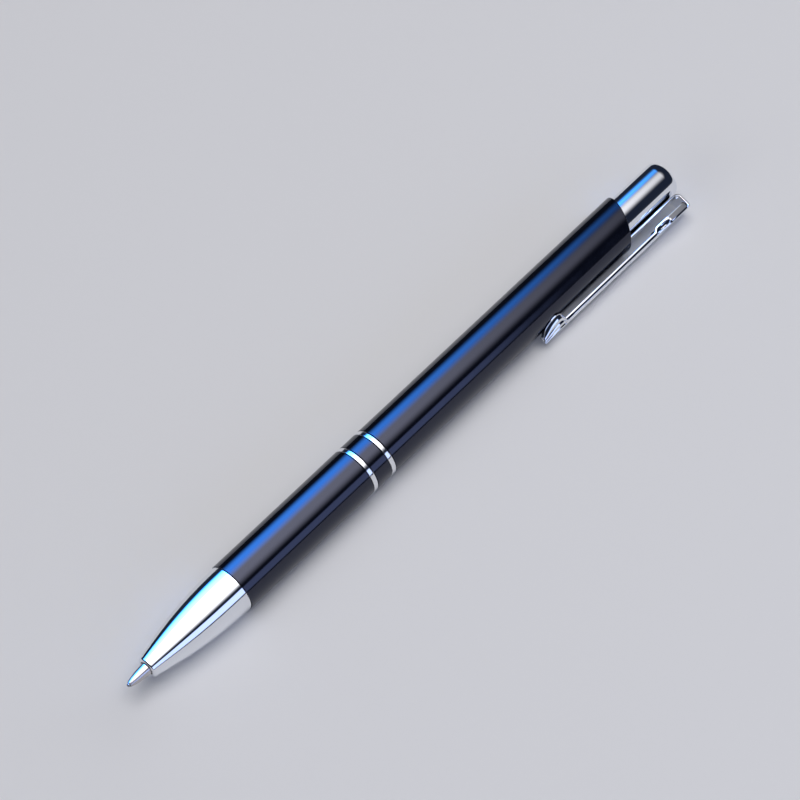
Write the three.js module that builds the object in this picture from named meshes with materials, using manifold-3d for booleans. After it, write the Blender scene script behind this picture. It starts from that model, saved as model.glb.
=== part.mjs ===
// A push-button ballpoint pen with a slim black barrel, two bright rings at the middle,
// a bright nose cone, a bright push button and a bent sheet clip that ends in a leaf.
// Millimetres, +Z up. The pen lies along X with its writing tip towards -X and its button
// towards +X. It rests on its barrel and on one corner of the clip.
//
// Round pieces are drawn as radii against stations. A station is the distance from the
// writing tip along the pen, with the tip out for writing.

import * as THREE from 'three';
import { mergeVertices } from 'three/addons/utils/BufferGeometryUtils.js';
import Module from 'manifold-3d';

const wasm = await Module();
wasm.setup();

// Outside of the pen
const BARREL_RADIUS = 4.75;
const BARREL_WALL = 0.45;
const TIP_REACH = 4.5;
const NOSE_LENGTH = 20.4;
const NOSE_FRONT_RADIUS = 1.95;
const NOSE_STEP = 0.13;
const NOSE_FRONT_HANDLE = 6.0;
const NOSE_REAR_HANDLE = 8.9;
const NOSE_HANDLE_RADIUS = 3.39;
const LOWER_BARREL_LENGTH = 30.2;
const RING_WIDTH = 0.95;
const COLLAR_LENGTH = 3.45;
const UPPER_BARREL_LENGTH = 63.45;
const MOUTH_SLANT_DEGREES = 22.6;
const EDGE_BREAK = 0.12;

// Push button, and how far it travels past its rest place each way
const BUTTON_RADIUS = 3.6;
const BUTTON_WALL = 0.35;
const BUTTON_END_WALL = 0.9;
const BUTTON_ROUNDING = 1.4;
const BUTTON_REACH = 13.4;
const BUTTON_OFFSET = 0.55;
const OVER_TRAVEL = 1.3;
const RETRACT_TRAVEL = 6.0;

// Clip
const SHEET = 0.45;
const CLIP_RISE = 12.0;
const CLIP_REACH = 6.65;
const CLIP_LENGTH = 38.5;
const BLOCK_LENGTH = 5.6;
const BLOCK_WIDTH = 4.3;
const BLOCK_DEPTH = 1.45;
const SHOULDER_LENGTH = 3.4;
const ARM_WIDTH = 3.3;
const ARM_CREST = 0.22;
const NECK_WIDTH = 2.2;
const LEAF_LENGTH = 5.4;
const LEAF_WIDTH = 4.8;
const LEAF_DEPTH = 2.2;
const LEAF_FLUTE = 0.13;
const LEAF_TIP_WIDTH = 1.1;
const LEAF_TIP_DEPTH = 1.45;
const TONGUE_WIDTH = 4.0;
const TONGUE_HOLD = 9.0;
const INNER_BEND = 1.1;
const OUTER_BEND = 0.6;

// Refill
const BALL_RADIUS = 0.35;
const POINT_LIP_RADIUS = 0.47;
const POINT_SWELL_RADIUS = 0.95;
const POINT_SWELL_STATION = 2.2;
const POINT_CONE_RADIUS = 1.15;
const POINT_CONE_LENGTH = 4.1;
const POINT_LENGTH = 9.0;
const POINT_STUB_RADIUS = 0.8;
const POINT_STUB_LENGTH = 3.0;
const NOZZLE_RADIUS = 1.2;
const INK_CHANNEL_RADIUS = 0.3;
const SPRING_SEAT = 19.4;
const SPRING_SEAT_RADIUS = 2.2;
const REFILL_RADIUS = 2.95;
const REFILL_WALL = 0.2;
const REFILL_LENGTH = 98.5;
const SHOULDER_RISE = 1.6;
const ADAPTER_RIM = 0.4;
const REFILL_STUB_LENGTH = 3.0;
const PLUG_LENGTH = 3.95;
const PLUG_FLANGE = 0.7;
const PLUG_RADIUS = 2.3;
const PLUG_NOTCH_WIDTH = 0.9;
const PLUG_NOTCH_DEPTH = 1.4;
const PLUG_SLOTS = 2;
const EMPTY_LENGTH = 4.3;
const FOLLOWER_LENGTH = 3.0;

// Return spring
const WIRE = 0.45;
const SPRING_LENGTH = 10.1;
const SPRING_TURNS = 9.5;
const SPRING_STEPS = 8;
const SPRING_SIDES = 5;

// Click mechanism
const CAM_RADIUS = 2.2;
const CAM_FOOT = 0.5;
const CAM_NECK = 0.7;
const RIB_COUNT = 4;
const RIB_LENGTH = 2.1;
const RIB_WIDTH = 1.1;
const RIB_REACH = 3.0;
const RIB_SLOPE = 0.5;
const CROWN_TEETH = 8;
const CROWN_TOOTH = 0.8;
const CROWN_BORE = 1.2;
const SPLINE_SETBACK = 0.4;
const HOUSING_SKIRT = 9.5;
const HOUSING_LIP = 1.0;
const HEAD_SETBACK = 0.8;

// Inner bushings
const NOSE_STUB_LENGTH = 6.6;
const BUSHING_WALL = 0.3;
const BUSHING_EXTRA = 1.0;
const COUPLER_FRONT_STUB = 9.0;
const COUPLER_REAR_STUB = 8.0;

// Clearances
const SEAM = 0.06;
const SNUG = 0.1;
const RUNNING = 0.15;
const CONTACT_GAP = 0.3;

// Facets round a piece
const FACETS = 64;
const SMALL_FACETS = 32;
const ROUNDING_STEPS = 5;
const BEND_STEPS = 5;
const SHOULDER_STEPS = 6;
const NOSE_STEPS = 16;

// Stations along the pen
const NOSE_FRONT = TIP_REACH;
const NOSE_REAR = NOSE_FRONT + NOSE_LENGTH;
const LOWER_FRONT = NOSE_REAR + SEAM;
const LOWER_REAR = LOWER_FRONT + LOWER_BARREL_LENGTH;
const FRONT_RING = LOWER_REAR + SEAM;
const COLLAR_FRONT = FRONT_RING + RING_WIDTH + SEAM;
const COLLAR_REAR = COLLAR_FRONT + COLLAR_LENGTH;
const REAR_RING = COLLAR_REAR + SEAM;
const UPPER_FRONT = REAR_RING + RING_WIDTH + SEAM;
const MOUTH = UPPER_FRONT + UPPER_BARREL_LENGTH;
const BUTTON_END = MOUTH + BUTTON_REACH;
const CLIP_TOP = MOUTH + CLIP_RISE;

// Stations of the refill and of the click mechanism
const POINT_REAR = POINT_LENGTH + POINT_STUB_LENGTH;
const ADAPTER_FRONT = POINT_LENGTH + SEAM;
const ADAPTER_RIM_REAR = SPRING_SEAT + SHOULDER_RISE + ADAPTER_RIM;
const ADAPTER_REAR = ADAPTER_RIM_REAR + REFILL_STUB_LENGTH;
const TUBE_FRONT = ADAPTER_RIM_REAR + SEAM;
const TUBE_REAR = REFILL_LENGTH - PLUG_LENGTH;
const INK_FRONT = ADAPTER_REAR + CONTACT_GAP;
const FOLLOWER_REAR = TUBE_REAR - REFILL_STUB_LENGTH - EMPTY_LENGTH;
const FOLLOWER_FRONT = FOLLOWER_REAR - FOLLOWER_LENGTH;
const INK_REAR = FOLLOWER_FRONT - SEAM;
const SPRING_FRONT = SPRING_SEAT - SPRING_LENGTH;
const CAM_FRONT = REFILL_LENGTH + CONTACT_GAP;
const RIB_FRONT = CAM_FRONT + CAM_FOOT;
const RIB_REAR = RIB_FRONT + RIB_LENGTH;
const GUIDE_FRONT = RIB_REAR + CONTACT_GAP;
const CAM_REAR = RIB_REAR + CAM_NECK;
const PLUNGER_FRONT = CAM_REAR + CROWN_TOOTH + CONTACT_GAP + CROWN_TOOTH;
const SPLINE_FRONT = PLUNGER_FRONT + SPLINE_SETBACK;
const SPLINE_REAR = SPLINE_FRONT + RIB_LENGTH;
const GROOVE_REAR = SPLINE_REAR + RETRACT_TRAVEL + CONTACT_GAP;
const HOUSING_FRONT = GUIDE_FRONT - HOUSING_SKIRT;
const HOUSING_REAR = GROOVE_REAR + HOUSING_LIP;
const BUTTON_FRONT = HOUSING_REAR + OVER_TRAVEL + CONTACT_GAP;
const TONGUE_END = HOUSING_REAR - TONGUE_HOLD;

// Radii and distances that follow from their neighbours
const BORE = BARREL_RADIUS - BARREL_WALL;
const NOSE_REAR_RADIUS = BARREL_RADIUS - NOSE_STEP;
const NOSE_BORE = NOZZLE_RADIUS + RUNNING;
const REFILL_ROOM = REFILL_RADIUS + CONTACT_GAP;
const REFILL_BORE = REFILL_RADIUS - REFILL_WALL;
const BUSHING_OUTER = BORE - SNUG;
const BUSHING_INNER = BUSHING_OUTER - BUSHING_WALL;
const STUB_RADIUS = BUSHING_INNER - SNUG;
const COIL_RADIUS = NOZZLE_RADIUS + RUNNING + WIRE;
const SPRING_ROOM = COIL_RADIUS + WIRE / 2 + CONTACT_GAP;
const BALL_SOCKET = BALL_RADIUS + SEAM;
const GUIDE_BORE = CAM_RADIUS + RUNNING;
const GROOVE_REACH = RIB_REACH + RUNNING;
const GROOVE_WIDTH = RIB_WIDTH + 2 * RUNNING;
const BUTTON_BORE = BUTTON_RADIUS - BUTTON_WALL;
const TONGUE_BACK = BUTTON_RADIUS - BUTTON_OFFSET + RUNNING;
const MOUTH_SLANT = THREE.MathUtils.degToRad(MOUTH_SLANT_DEGREES);

// The pen rolls until the clip's lower corner meets the surface that the barrel lies on.
const CORNER_DISTANCE = Math.hypot(CLIP_REACH, BLOCK_WIDTH / 2);
const CORNER_ANGLE = Math.atan2(BLOCK_WIDTH / 2, CLIP_REACH);
const CLIP_ROLL = Math.asin(BARREL_RADIUS / CORNER_DISTANCE) - CORNER_ANGLE;

// Finishes
const CHROME = { color: 0xdfe4ea, roughness: 0.06, metalness: 1.0 };
const BRIGHT_RING = { color: 0xe6e9ee, roughness: 0.12, metalness: 1.0 };
const BLACK_LACQUER = { color: 0x05060a, roughness: 0.08, metalness: 0.1 };
const NICKEL_SILVER = { color: 0xb9b4a9, roughness: 0.25, metalness: 1.0 };
const BRASS = { color: 0xb08d3f, roughness: 0.3, metalness: 1.0 };
const STEEL = { color: 0x8d9299, roughness: 0.3, metalness: 1.0 };
const CARBIDE = { color: 0x6c7077, roughness: 0.15, metalness: 1.0 };
const WHITE_PLASTIC = { color: 0xd9dad6, roughness: 0.45, metalness: 0.0 };
const BLACK_PLASTIC = { color: 0x15161a, roughness: 0.5, metalness: 0.0 };
const BLUE_INK = { color: 0x0a1240, roughness: 0.2, metalness: 0.0 };
const GREASE = { color: 0xb6b37c, roughness: 0.3, metalness: 0.0 };

// A closed solid from any closed geometry, with its faces turned outwards.
function solidOf(geometry) {
  const bare = geometry.clone();
  bare.deleteAttribute('normal');
  bare.deleteAttribute('uv');
  const merged = mergeVertices(bare, 1e-4);
  const points = merged.attributes.position.array;
  const corners = merged.index.array;
  const kept = [];
  const a = new THREE.Vector3();
  const b = new THREE.Vector3();
  const c = new THREE.Vector3();
  let volume = 0;
  for (let i = 0; i < corners.length; i += 3) {
    const [p, q, r] = [corners[i], corners[i + 1], corners[i + 2]];
    if (p === q || q === r || r === p) continue;
    a.fromArray(points, 3 * p);
    b.fromArray(points, 3 * q);
    c.fromArray(points, 3 * r);
    volume += a.dot(b.cross(c)) / 6;
    kept.push(p, q, r);
  }
  if (volume < 0) kept.reverse();
  return new wasm.Manifold(new wasm.Mesh({
    numProp: 3,
    vertProperties: new Float32Array(points),
    triVerts: new Uint32Array(kept),
  }));
}

// A drawable geometry from a solid.
function geometryOf(solid) {
  const mesh = solid.getMesh();
  const geometry = new THREE.BufferGeometry();
  const points = new Float32Array(mesh.vertProperties);
  geometry.setAttribute('position', new THREE.BufferAttribute(points, 3));
  geometry.setIndex(Array.from(mesh.triVerts));
  geometry.computeVertexNormals();
  return geometry;
}

// A geometry from bare positions and faces.
function meshOf(positions, faces) {
  const geometry = new THREE.BufferGeometry();
  geometry.setAttribute('position', new THREE.Float32BufferAttribute(positions, 3));
  geometry.setIndex(faces);
  return geometry;
}

// A turned piece. Its outline is a list of [radius, station] corners that closes on itself,
// or that starts and ends on the axis.
function turned(outline, facets = FACETS) {
  const points = outline.map(([radius, station]) => new THREE.Vector2(radius, station));
  const onAxis = points[0].x === 0 && points[points.length - 1].x === 0;
  if (!onAxis) points.push(points[0].clone());
  return solidOf(new THREE.LatheGeometry(points, facets));
}

// A plain tube between two stations with its outer edges broken.
function tube(outer, inner, front, rear) {
  return turned([
    [inner, front],
    [outer - EDGE_BREAK, front],
    [outer, front + EDGE_BREAK],
    [outer, rear - EDGE_BREAK],
    [outer - EDGE_BREAK, rear],
    [inner, rear],
  ]);
}

// A plain rod between two stations.
function rod(radius, front, rear, facets = SMALL_FACETS) {
  return turned([[0, front], [radius, front], [radius, rear], [0, rear]], facets);
}

// A box between two distances from the axis and two stations, turned about the axis.
function bar(from, to, front, rear, width, turn = 0) {
  const geometry = new THREE.BoxGeometry(to - from, rear - front, width);
  geometry.translate((from + to) / 2, (front + rear) / 2, 0);
  geometry.rotateY(turn);
  return solidOf(geometry);
}

// Directions of the ribs round the axis, half a step away from the clip.
function ribTurns() {
  return Array.from({ length: RIB_COUNT }, (_, i) => 2 * Math.PI * (i + 0.5) / RIB_COUNT);
}

// One rib that stands out of a round core. Its rear end may slope.
function rib(front, slope, turn) {
  const root = CAM_RADIUS / 2;
  const outline = new THREE.Shape();
  outline.moveTo(-RIB_WIDTH / 2, front);
  outline.lineTo(RIB_WIDTH / 2, front);
  outline.lineTo(RIB_WIDTH / 2, front + RIB_LENGTH - slope);
  outline.lineTo(-RIB_WIDTH / 2, front + RIB_LENGTH);
  const depth = RIB_REACH - root;
  const geometry = new THREE.ExtrudeGeometry(outline, { depth, bevelEnabled: false });
  geometry.translate(0, 0, root);
  geometry.rotateY(turn + Math.PI / 2);
  return solidOf(geometry);
}

// A ring of pointed teeth that rise from a base station to a tip station.
function crown(foot, base, tip) {
  const columns = 2 * CROWN_TEETH;
  const positions = [];
  const faces = [];
  for (let i = 0; i < columns; i += 1) {
    const angle = 2 * Math.PI * i / columns;
    const height = i % 2 === 0 ? tip : base;
    const rows = [[CROWN_BORE, foot], [CAM_RADIUS, foot], [CAM_RADIUS, height], [CROWN_BORE, height]];
    for (const [radius, station] of rows) {
      positions.push(radius * Math.sin(angle), station, radius * Math.cos(angle));
    }
  }
  for (let i = 0; i < columns; i += 1) {
    const here = 4 * i;
    const next = 4 * ((i + 1) % columns);
    for (let k = 0; k < 4; k += 1) {
      const l = (k + 1) % 4;
      faces.push(here + k, next + k, next + l, here + k, next + l, here + l);
    }
  }
  return solidOf(meshOf(positions, faces));
}

// Nose cone with a spring pocket inside and a stub that screws into the barrel.
function noseCone() {
  const swell = new THREE.CubicBezierCurve(
    new THREE.Vector2(NOSE_FRONT_RADIUS, NOSE_FRONT),
    new THREE.Vector2(NOSE_HANDLE_RADIUS, NOSE_FRONT + NOSE_FRONT_HANDLE),
    new THREE.Vector2(NOSE_REAR_RADIUS, NOSE_REAR - NOSE_REAR_HANDLE),
    new THREE.Vector2(NOSE_REAR_RADIUS, NOSE_REAR),
  );
  const outside = swell.getPoints(NOSE_STEPS).map((point) => [point.x, point.y]);
  const springFloor = SPRING_FRONT - CONTACT_GAP;
  const shoulderFloor = SPRING_SEAT - OVER_TRAVEL - CONTACT_GAP;
  return turned([
    [NOSE_BORE, NOSE_FRONT],
    ...outside,
    [STUB_RADIUS, NOSE_REAR],
    [STUB_RADIUS, NOSE_REAR + NOSE_STUB_LENGTH],
    [REFILL_ROOM, NOSE_REAR + NOSE_STUB_LENGTH],
    [REFILL_ROOM, shoulderFloor],
    [SPRING_ROOM, shoulderFloor],
    [SPRING_ROOM, springFloor],
    [NOSE_BORE, springFloor],
  ]);
}

// Upper barrel. Its mouth is cut on a slant that is lowest beside the clip.
function upperBarrel() {
  const slantRise = BARREL_RADIUS * Math.tan(MOUTH_SLANT);
  const plain = tube(BARREL_RADIUS, BORE, UPPER_FRONT, MOUTH + slantRise + 1);
  const size = 4 * BARREL_RADIUS + 2 * slantRise;
  const geometry = new THREE.BoxGeometry(size, size, size);
  geometry.translate(0, size / 2, 0);
  geometry.rotateZ(-MOUTH_SLANT);
  geometry.translate(0, MOUTH, 0);
  return plain.subtract(solidOf(geometry));
}

// Coupler. Its black collar shows between the two rings and its stubs join the barrels.
function coupler() {
  return turned([
    [REFILL_ROOM, COLLAR_FRONT - COUPLER_FRONT_STUB],
    [BUSHING_OUTER, COLLAR_FRONT - COUPLER_FRONT_STUB],
    [BUSHING_OUTER, COLLAR_FRONT],
    [BARREL_RADIUS, COLLAR_FRONT],
    [BARREL_RADIUS, COLLAR_REAR],
    [STUB_RADIUS, COLLAR_REAR],
    [STUB_RADIUS, COLLAR_REAR + COUPLER_REAR_STUB],
    [REFILL_ROOM, COLLAR_REAR + COUPLER_REAR_STUB],
  ]);
}

// Bushing pressed into the end of a barrel, in which a stub screws.
function bushing(front, rear) {
  return turned([
    [BUSHING_INNER, front],
    [BUSHING_OUTER, front],
    [BUSHING_OUTER, rear],
    [BUSHING_INNER, rear],
  ]);
}

// Point of the refill: a cone with a socket for the ball and a stub for the adapter.
function refillPoint() {
  const lip = BALL_RADIUS + SNUG;
  const socketFloor = 2 * BALL_RADIUS + SNUG;
  return turned([
    [BALL_SOCKET, lip],
    [POINT_LIP_RADIUS, lip],
    [POINT_SWELL_RADIUS, POINT_SWELL_STATION],
    [POINT_CONE_RADIUS, POINT_CONE_LENGTH],
    [NOZZLE_RADIUS, POINT_CONE_LENGTH + CONTACT_GAP],
    [NOZZLE_RADIUS, POINT_LENGTH],
    [POINT_STUB_RADIUS, POINT_LENGTH],
    [POINT_STUB_RADIUS, POINT_REAR],
    [INK_CHANNEL_RADIUS, POINT_REAR],
    [INK_CHANNEL_RADIUS, socketFloor + SNUG],
    [BALL_SOCKET, socketFloor],
  ], SMALL_FACETS);
}

// Adapter between the slim nozzle and the wide refill tube. The spring sits on its shoulder.
function refillAdapter() {
  const channel = 2 * INK_CHANNEL_RADIUS;
  return turned([
    [POINT_STUB_RADIUS + SNUG, ADAPTER_FRONT],
    [NOZZLE_RADIUS, ADAPTER_FRONT],
    [NOZZLE_RADIUS, SPRING_SEAT],
    [SPRING_SEAT_RADIUS, SPRING_SEAT],
    [REFILL_RADIUS, SPRING_SEAT + SHOULDER_RISE],
    [REFILL_RADIUS, ADAPTER_RIM_REAR],
    [REFILL_BORE - SNUG, ADAPTER_RIM_REAR],
    [REFILL_BORE - SNUG, ADAPTER_REAR],
    [channel, ADAPTER_REAR],
    [channel, POINT_REAR + CONTACT_GAP],
    [POINT_STUB_RADIUS + SNUG, POINT_REAR + CONTACT_GAP],
  ], SMALL_FACETS);
}

// Refill tube, open at both ends.
function refillTube() {
  return turned([
    [REFILL_BORE, TUBE_FRONT],
    [REFILL_RADIUS, TUBE_FRONT],
    [REFILL_RADIUS, TUBE_REAR],
    [REFILL_BORE, TUBE_REAR],
  ], SMALL_FACETS);
}

// Plug at the refill's rear end, with crossed slots in its end face.
function refillPlug() {
  const flangeFront = TUBE_REAR + SEAM;
  let plug = turned([
    [0, TUBE_REAR - REFILL_STUB_LENGTH],
    [REFILL_BORE - SNUG, TUBE_REAR - REFILL_STUB_LENGTH],
    [REFILL_BORE - SNUG, flangeFront],
    [REFILL_RADIUS - SEAM, flangeFront],
    [REFILL_RADIUS - SEAM, flangeFront + PLUG_FLANGE],
    [PLUG_RADIUS, flangeFront + PLUG_FLANGE],
    [PLUG_RADIUS, REFILL_LENGTH],
    [0, REFILL_LENGTH],
  ], SMALL_FACETS);
  for (let i = 0; i < PLUG_SLOTS; i += 1) {
    const turn = Math.PI * i / PLUG_SLOTS;
    const reach = 2 * PLUG_RADIUS;
    const floor = REFILL_LENGTH - PLUG_NOTCH_DEPTH;
    plug = plug.subtract(bar(-reach, reach, floor, REFILL_LENGTH + 1, PLUG_NOTCH_WIDTH, turn));
  }
  return plug;
}

// Return spring: one unbroken round wire in a helix round the nozzle.
function returnSpring() {
  const front = SPRING_FRONT + WIRE / 2 + SEAM;
  const rear = SPRING_SEAT - WIRE / 2 - SEAM;
  const rings = Math.round(SPRING_TURNS * SPRING_STEPS);
  const pitch = (rear - front) / SPRING_TURNS;
  const centres = [];
  const positions = [];
  const faces = [];
  for (let j = 0; j <= rings; j += 1) {
    const turn = 2 * Math.PI * j / SPRING_STEPS;
    const station = front + (rear - front) * j / rings;
    const outwards = new THREE.Vector3(Math.sin(turn), 0, Math.cos(turn));
    const along = new THREE.Vector3(Math.cos(turn), 0, -Math.sin(turn));
    along.multiplyScalar(COIL_RADIUS).add(new THREE.Vector3(0, pitch / (2 * Math.PI), 0)).normalize();
    const upwards = new THREE.Vector3().crossVectors(along, outwards);
    const centre = outwards.clone().multiplyScalar(COIL_RADIUS).setY(station);
    centres.push(centre);
    for (let i = 0; i < SPRING_SIDES; i += 1) {
      const angle = 2 * Math.PI * i / SPRING_SIDES;
      const point = centre.clone();
      point.addScaledVector(outwards, WIRE / 2 * Math.cos(angle));
      point.addScaledVector(upwards, WIRE / 2 * Math.sin(angle));
      positions.push(...point.toArray());
    }
  }
  for (let j = 0; j < rings; j += 1) {
    for (let i = 0; i < SPRING_SIDES; i += 1) {
      const k = (i + 1) % SPRING_SIDES;
      const here = j * SPRING_SIDES;
      const next = here + SPRING_SIDES;
      faces.push(here + i, here + k, next + k, here + i, next + k, next + i);
    }
  }
  const last = rings * SPRING_SIDES;
  for (let i = 1; i + 1 < SPRING_SIDES; i += 1) {
    faces.push(0, i + 1, i, last, last + i, last + i + 1);
  }
  console.log(`least gap between turns of the return spring: ${leastGap(centres).toFixed(2)} mm`);
  return solidOf(meshOf(positions, faces));
}

// Least distance between the surfaces of neighbouring turns, measured on the wire's points.
function leastGap(centres) {
  let least = Infinity;
  for (let i = 0; i < centres.length; i += 1) {
    for (let j = i + Math.ceil(SPRING_STEPS / 2); j < centres.length; j += 1) {
      least = Math.min(least, centres[i].distanceTo(centres[j]));
    }
  }
  return least - WIRE;
}

// Housing of the click mechanism. Its bore guides the plunger and its grooves take the ribs.
// The clip's tongue lies on a flat on its side.
function camHousing() {
  let housing = turned([
    [REFILL_ROOM, HOUSING_FRONT],
    [BUSHING_OUTER, HOUSING_FRONT],
    [BUSHING_OUTER, HOUSING_REAR],
    [GUIDE_BORE, HOUSING_REAR],
    [GUIDE_BORE, GUIDE_FRONT],
    [REFILL_ROOM, GUIDE_FRONT],
  ], SMALL_FACETS);
  for (const turn of ribTurns()) {
    const front = GUIDE_FRONT - CONTACT_GAP;
    housing = housing.subtract(bar(0, GROOVE_REACH, front, GROOVE_REAR, GROOVE_WIDTH, turn));
  }
  const flat = TONGUE_BACK - SNUG;
  const flatFront = TONGUE_END - SNUG;
  const wide = 4 * BARREL_RADIUS;
  return housing.subtract(bar(flat, 2 * BARREL_RADIUS, flatFront, HOUSING_REAR + 1, wide));
}

// Rotary cam: a round core with ribs outside and a crown of teeth at its rear end.
function rotaryCam() {
  let cam = rod(CAM_RADIUS, CAM_FRONT, CAM_REAR);
  for (const turn of ribTurns()) {
    cam = cam.add(rib(RIB_FRONT, RIB_SLOPE, turn));
  }
  return cam.add(crown(CAM_REAR - CAM_NECK / 2, CAM_REAR + SEAM, CAM_REAR + CROWN_TOOTH));
}

// Plunger: a stem with splines and teeth, and a head that carries the button off the axis.
function plunger() {
  const headRadius = BUTTON_BORE - SNUG;
  const headFront = BUTTON_FRONT + HEAD_SETBACK;
  let stem = rod(CAM_RADIUS, PLUNGER_FRONT, headFront + CONTACT_GAP);
  for (const turn of ribTurns()) {
    stem = stem.add(rib(SPLINE_FRONT, 0, turn));
  }
  const teeth = crown(PLUNGER_FRONT + SPLINE_SETBACK, PLUNGER_FRONT - SEAM, PLUNGER_FRONT - CROWN_TOOTH);
  stem = stem.add(teeth);
  const headRear = BUTTON_END - BUTTON_END_WALL - CONTACT_GAP;
  return stem.add(rod(headRadius, headFront, headRear).translate([-BUTTON_OFFSET, 0, 0]));
}

// Push button: a bright cup over the plunger's head. It sits off the axis, because the
// clip's tongue takes up one side of the barrel's mouth.
function pushButton() {
  const rounding = [];
  for (let i = 0; i <= ROUNDING_STEPS; i += 1) {
    const angle = Math.PI / 2 * i / ROUNDING_STEPS;
    rounding.push([
      BUTTON_RADIUS - BUTTON_ROUNDING * (1 - Math.cos(angle)),
      BUTTON_END - BUTTON_ROUNDING * (1 - Math.sin(angle)),
    ]);
  }
  const cup = turned([
    [0, BUTTON_END - BUTTON_END_WALL],
    [BUTTON_BORE, BUTTON_END - BUTTON_END_WALL],
    [BUTTON_BORE, BUTTON_FRONT],
    [BUTTON_RADIUS, BUTTON_FRONT],
    ...rounding,
    [0, BUTTON_END],
  ]);
  return cup.translate([-BUTTON_OFFSET, 0, 0]);
}

// The clip's cross-sections in order from the tongue's end to the leaf's tip. Each one has
// the place of the sheet's outer face, the direction out of it, and the section's own sizes.
// A crest is a raised middle, a roof is a fall towards the edges and a skirt is a turned-in edge.
function clipSections() {
  const sections = [];
  const plain = { crest: 0, roof: 0, flute: 0, skirt: SHEET, solid: 0 };
  const place = (out, station, turn, sizes) => {
    sections.push({ out, station, turn, ...plain, ...sizes });
  };
  const tongue = { half: TONGUE_WIDTH / 2 };
  const strip = { half: BLOCK_WIDTH / 2 };
  place(TONGUE_BACK, TONGUE_END, Math.PI, tongue);
  place(TONGUE_BACK, CLIP_TOP - 4 * INNER_BEND, Math.PI, tongue);
  for (let i = 0; i <= BEND_STEPS; i += 1) {
    const turn = Math.PI / 2 * i / BEND_STEPS;
    const out = TONGUE_BACK + INNER_BEND * (1 - Math.cos(turn));
    const station = CLIP_TOP - INNER_BEND * (1 - Math.sin(turn));
    place(out, station, Math.PI - turn, strip);
  }
  for (let i = 0; i <= BEND_STEPS; i += 1) {
    const turn = Math.PI / 2 * i / BEND_STEPS;
    const out = CLIP_REACH - OUTER_BEND * (1 - Math.sin(turn));
    const station = CLIP_TOP - OUTER_BEND * (1 - Math.cos(turn));
    place(out, station, Math.PI / 2 - turn, strip);
  }
  const arm = (drop, sizes) => place(CLIP_REACH, CLIP_TOP - drop, 0, sizes);
  const blockSize = { half: BLOCK_WIDTH / 2, skirt: BLOCK_DEPTH };
  arm(OUTER_BEND + SEAM, blockSize);
  for (let i = 0; i <= SHOULDER_STEPS; i += 1) {
    const ease = THREE.MathUtils.smoothstep(i / SHOULDER_STEPS, 0, 1);
    arm(BLOCK_LENGTH + SHOULDER_LENGTH * i / SHOULDER_STEPS, {
      half: THREE.MathUtils.lerp(BLOCK_WIDTH, ARM_WIDTH, ease) / 2,
      skirt: THREE.MathUtils.lerp(BLOCK_DEPTH, SHEET, ease),
      crest: ARM_CREST * ease,
    });
  }
  const leafTop = CLIP_LENGTH - LEAF_LENGTH;
  arm(leafTop - CONTACT_GAP, { half: NECK_WIDTH / 2, crest: ARM_CREST });
  for (const [along, wide, deep, solid] of LEAF_OUTLINE) {
    const depth = THREE.MathUtils.lerp(LEAF_TIP_DEPTH, LEAF_DEPTH, deep);
    const crest = ARM_CREST / 2;
    const skirt = SHEET + CONTACT_GAP / 2;
    arm(leafTop + LEAF_LENGTH * along, {
      half: THREE.MathUtils.lerp(LEAF_TIP_WIDTH, LEAF_WIDTH, wide) / 2,
      roof: depth - crest - skirt,
      flute: LEAF_FLUTE * wide,
      crest,
      skirt,
      solid,
    });
  }
  return sections;
}

// The leaf from its shoulders to its tip: how far along, how wide, how deep and how solid.
const LEAF_OUTLINE = [
  [0.0, 0.62, 0.35, 0],
  [0.07, 0.86, 0.75, 0],
  [0.17, 0.98, 0.97, 0],
  [0.28, 1.0, 1.0, 0],
  [0.42, 0.92, 0.95, 0],
  [0.57, 0.73, 0.8, 0],
  [0.72, 0.48, 0.55, 0.2],
  [0.86, 0.22, 0.25, 0.6],
  [0.95, 0.07, 0.05, 0.9],
  [1.0, 0.0, 0.0, 1],
];

// One cross-section as [depth, across] corners, from the middle of the outer face round to
// the middle of the inner face and back.
function sectionCorners({ half, crest, roof, flute, skirt, solid }) {
  const lerp = THREE.MathUtils.lerp;
  const wall = Math.min(SHEET, 0.45 * half);
  const bottom = -crest - roof - skirt;
  const outer = [0.25, 0.5, 0.75, 1].map((part, i) => {
    const dip = i % 2 === 0 ? flute : 0;
    return [-crest - roof * part ** 1.5 - dip, half * part];
  });
  const inner = [
    [bottom, half],
    [bottom + CONTACT_GAP / 2 * Math.min(1, roof), half - wall],
    [lerp(-crest - roof / 2 - SHEET, bottom, solid), lerp(0.92, 0.75, roof / LEAF_DEPTH) * (half - wall)],
  ];
  const side = [...outer, ...inner];
  const mirrored = side.map(([depth, across]) => [depth, -across]).reverse();
  return [[0, 0], ...side, [lerp(-SHEET, bottom, solid), 0], ...mirrored];
}

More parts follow.
